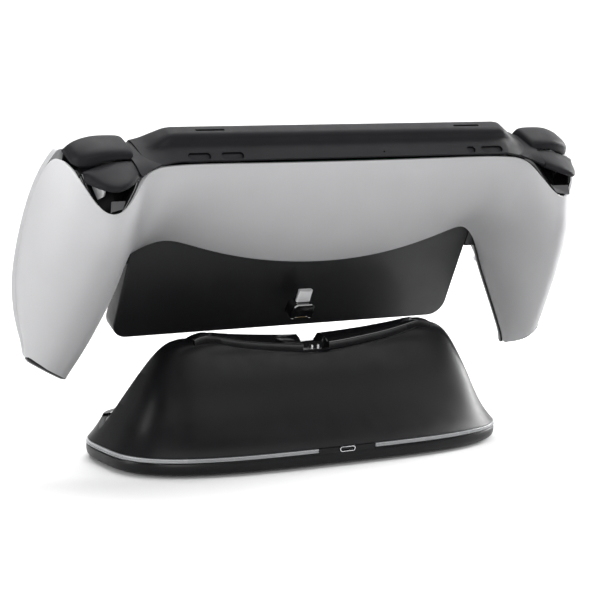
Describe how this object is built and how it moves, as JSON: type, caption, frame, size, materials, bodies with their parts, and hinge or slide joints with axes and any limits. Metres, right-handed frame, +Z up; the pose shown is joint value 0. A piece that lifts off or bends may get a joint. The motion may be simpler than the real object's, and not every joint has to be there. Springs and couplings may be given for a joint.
{
  "type": "handheld game console with charging dock",
  "caption": "Wide handheld game console with two controller grips round a tablet screen, held above a low charging dock, with a small USB-C adapter between them.",
  "frame": {"origin": "centre of the dock's anti-slip pad, on the table", "axes": "+X along the screen's width to the right as seen from behind, +Y towards the player, +Z up"},
  "size_m": [0.3114, 0.1018, 0.1707],
  "materials": {
    "white_shell": "fine-grained matte white moulding",
    "white_button": "smooth white caps",
    "dock_matte_black": "satin charcoal moulding",
    "gloss_black": "high-gloss black",
    "matte_black": "satin black moulding",
    "light_guide": "translucent light guide",
    "rubber": "matte elastomer",
    "screen_glass": "dark cover glass",
    "gold_plating": "gold-plated contacts",
    "steel": "bright steel",
    "circuit_board": "solder-masked board",
    "battery_wrap": "grey wrap"
  },
  "bodies": {
    "dock": {"dock_base_tray": "dock_matte_black", "dock_circuit_board": "circuit_board", "dock_contact_block": "matte_black", "dock_cradle": "gloss_black", "dock_foot_pad": "rubber", "dock_light_guide_left": "light_guide", "dock_light_guide_right": "light_guide", "dock_shell": "dock_matte_black", "dock_usb_c_socket": "steel"},
    "pogo_pin_left": {"pogo_pin_left": "steel"},
    "pogo_pin_right": {"pogo_pin_right": "steel"},
    "usb_adapter": {"adapter_contact_plate": "gold_plating", "adapter_housing": "gloss_black", "adapter_plug": "steel"},
    "console": {"battery": "battery_wrap", "belly_plate": "matte_black", "display_glass": "screen_glass", "display_housing": "matte_black", "front_cover_left": "white_shell", "front_cover_right": "white_shell", "grip_cap_left": "matte_black", "grip_cap_right": "matte_black", "headphone_jack": "matte_black", "lcd_module": "gloss_black", "main_board": "circuit_board", "rear_cover": "white_shell", "speaker_left": "matte_black", "speaker_right": "matte_black", "stick_base_left": "steel", "stick_base_right": "steel", "top_frame": "matte_black", "trigger_pin_left": "steel", "trigger_pin_right": "steel", "trigger_well_left": "gloss_black", "trigger_well_right": "gloss_black", "usb_c_port": "steel"},
    "trigger_left": {"trigger_left": "matte_black"},
    "trigger_right": {"trigger_right": "matte_black"},
    "bumper_left": {"bumper_left": "matte_black"},
    "bumper_right": {"bumper_right": "matte_black"},
    "stick_left": {"stick_left": "rubber"},
    "stick_right": {"stick_right": "rubber"},
    "stick_pivot_left": {"stick_pivot_left": "steel"},
    "stick_pivot_right": {"stick_pivot_right": "steel"},
    "stick_yoke_left": {"stick_yoke_left": "matte_black"},
    "stick_yoke_right": {"stick_yoke_right": "matte_black"},
    "direction_pad": {"direction_pad": "white_button"},
    "direction_pad_pivot": {"direction_pad_pivot": "matte_black"},
    "button_north": {"button_north": "white_button"},
    "button_east": {"button_east": "white_button"},
    "button_south": {"button_south": "white_button"},
    "button_west": {"button_west": "white_button"},
    "create_button": {"create_button": "white_button"},
    "options_button": {"options_button": "white_button"},
    "home_button": {"home_button": "matte_black"},
    "mute_button": {"mute_button": "white_button"},
    "volume_up_button": {"volume_up_button": "matte_black"},
    "volume_down_button": {"volume_down_button": "matte_black"},
    "link_button": {"link_button": "matte_black"},
    "power_button": {"power_button": "matte_black"}
  },
  "joints": [
    {"name": "console_lift", "type": "slide", "parent": "dock", "child": "console", "axis": [0, 0, 1], "range_m": [-0.045, 0.02]},
    {"name": "adapter_plug_slide", "type": "slide", "parent": "console", "child": "usb_adapter", "axis": [0, -0.4352, 0.9003], "range_m": [-0.0165, 0.037]},
    {"name": "pogo_pin_left_press", "type": "slide", "parent": "dock", "child": "pogo_pin_left", "axis": [0, 0, 1], "range_m": [-0.0006, 0], "stiffness_N_per_m": 200},
    {"name": "pogo_pin_right_press", "type": "slide", "parent": "dock", "child": "pogo_pin_right", "axis": [0, 0, 1], "range_m": [-0.0006, 0], "stiffness_N_per_m": 200},
    {"name": "trigger_left_pull", "type": "hinge", "parent": "console", "child": "trigger_left", "pos_m": [-0.1305, -0.01947, 0.15598], "axis": [1, 0, 0], "range_deg": [0, 14], "stiffness_Nm_per_rad": 0.12},
    {"name": "bumper_left_press", "type": "hinge", "parent": "console", "child": "bumper_left", "pos_m": [-0.13, -0.01562, 0.15951], "axis": [1, 0, 0], "range_deg": [0, 3], "stiffness_Nm_per_rad": 0.4},
    {"name": "stick_left_updown", "type": "hinge", "parent": "console", "child": "stick_yoke_left", "pos_m": [-0.121, 0.00515, 0.10735], "axis": [1, 0, 0], "range_deg": [-18, 18], "stiffness_Nm_per_rad": 0.02},
    {"name": "stick_left_sideways", "type": "hinge", "parent": "stick_yoke_left", "child": "stick_pivot_left", "pos_m": [-0.121, 0.00515, 0.10735], "axis": [0, -0.4352, 0.9003], "range_deg": [-18, 18], "stiffness_Nm_per_rad": 0.02},
    {"name": "stick_left_click", "type": "slide", "parent": "stick_pivot_left", "child": "stick_left", "axis": [0, 0.9003, 0.4352], "range_m": [-0.0006, 0], "stiffness_N_per_m": 1500},
    {"name": "trigger_right_pull", "type": "hinge", "parent": "console", "child": "trigger_right", "pos_m": [0.1305, -0.01947, 0.15598], "axis": [1, 0, 0], "range_deg": [0, 14], "stiffness_Nm_per_rad": 0.12},
    {"name": "bumper_right_press", "type": "hinge", "parent": "console", "child": "bumper_right", "pos_m": [0.13, -0.01562, 0.15951], "axis": [1, 0, 0], "range_deg": [0, 3], "stiffness_Nm_per_rad": 0.4},
    {"name": "stick_right_updown", "type": "hinge", "parent": "console", "child": "stick_yoke_right", "pos_m": [0.121, 0.00515, 0.10735], "axis": [1, 0, 0], "range_deg": [-18, 18], "stiffness_Nm_per_rad": 0.02},
    {"name": "stick_right_sideways", "type": "hinge", "parent": "stick_yoke_right", "child": "stick_pivot_right", "pos_m": [0.121, 0.00515, 0.10735], "axis": [0, -0.4352, 0.9003], "range_deg": [-18, 18], "stiffness_Nm_per_rad": 0.02},
    {"name": "stick_right_click", "type": "slide", "parent": "stick_pivot_right", "child": "stick_right", "axis": [0, 0.9003, 0.4352], "range_m": [-0.0006, 0], "stiffness_N_per_m": 1500},
    {"name": "pad_tilt_updown", "type": "hinge", "parent": "console", "child": "direction_pad_pivot", "pos_m": [-0.128, -0.00402, 0.13735], "axis": [1, 0, 0], "range_deg": [-4, 4], "stiffness_Nm_per_rad": 0.05},
    {"name": "pad_tilt_sideways", "type": "hinge", "parent": "direction_pad_pivot", "child": "direction_pad", "pos_m": [-0.128, -0.00402, 0.13735], "axis": [0, -0.4352, 0.9003], "range_deg": [-4, 4], "stiffness_Nm_per_rad": 0.05},
    {"name": "button_north_press", "type": "slide", "parent": "console", "child": "button_north", "axis": [0, 0.9003, 0.4352], "range_m": [-0.0012, 0], "stiffness_N_per_m": 400},
    {"name": "button_east_press", "type": "slide", "parent": "console", "child": "button_east", "axis": [0, 0.9003, 0.4352], "range_m": [-0.0012, 0], "stiffness_N_per_m": 400},
    {"name": "button_south_press", "type": "slide", "parent": "console", "child": "button_south", "axis": [0, 0.9003, 0.4352], "range_m": [-0.0012, 0], "stiffness_N_per_m": 400},
    {"name": "button_west_press", "type": "slide", "parent": "console", "child": "button_west", "axis": [0, 0.9003, 0.4352], "range_m": [-0.0012, 0], "stiffness_N_per_m": 400},
    {"name": "create_press", "type": "slide", "parent": "console", "child": "create_button", "axis": [0, 0.9003, 0.4352], "range_m": [-0.0008, 0], "stiffness_N_per_m": 300},
    {"name": "options_press", "type": "slide", "parent": "console", "child": "options_button", "axis": [0, 0.9003, 0.4352], "range_m": [-0.0008, 0], "stiffness_N_per_m": 300},
    {"name": "home_press", "type": "slide", "parent": "console", "child": "home_button", "axis": [0, 0.9003, 0.4352], "range_m": [-0.0008, 0], "stiffness_N_per_m": 300},
    {"name": "mute_press", "type": "slide", "parent": "console", "child": "mute_button", "axis": [0, 0.9003, 0.4352], "range_m": [-0.0008, 0], "stiffness_N_per_m": 300},
    {"name": "volume_up_press", "type": "slide", "parent": "console", "child": "volume_up_button", "axis": [0, -0.7919, 0.6106], "range_m": [-0.0004, 0], "stiffness_N_per_m": 500},
    {"name": "volume_down_press", "type": "slide", "parent": "console", "child": "volume_down_button", "axis": [0, -0.7919, 0.6106], "range_m": [-0.0004, 0], "stiffness_N_per_m": 500},
    {"name": "link_press", "type": "slide", "parent": "console", "child": "link_button", "axis": [0, -0.7919, 0.6106], "range_m": [-0.0004, 0], "stiffness_N_per_m": 500},
    {"name": "power_press", "type": "slide", "parent": "console", "child": "power_button", "axis": [0, -0.7919, 0.6106], "range_m": [-0.0004, 0], "stiffness_N_per_m": 500}
  ],
  "couplings": [
    {"joint": "adapter_plug_slide", "follows": "console_lift", "ratio": -0.82222}
  ]
}
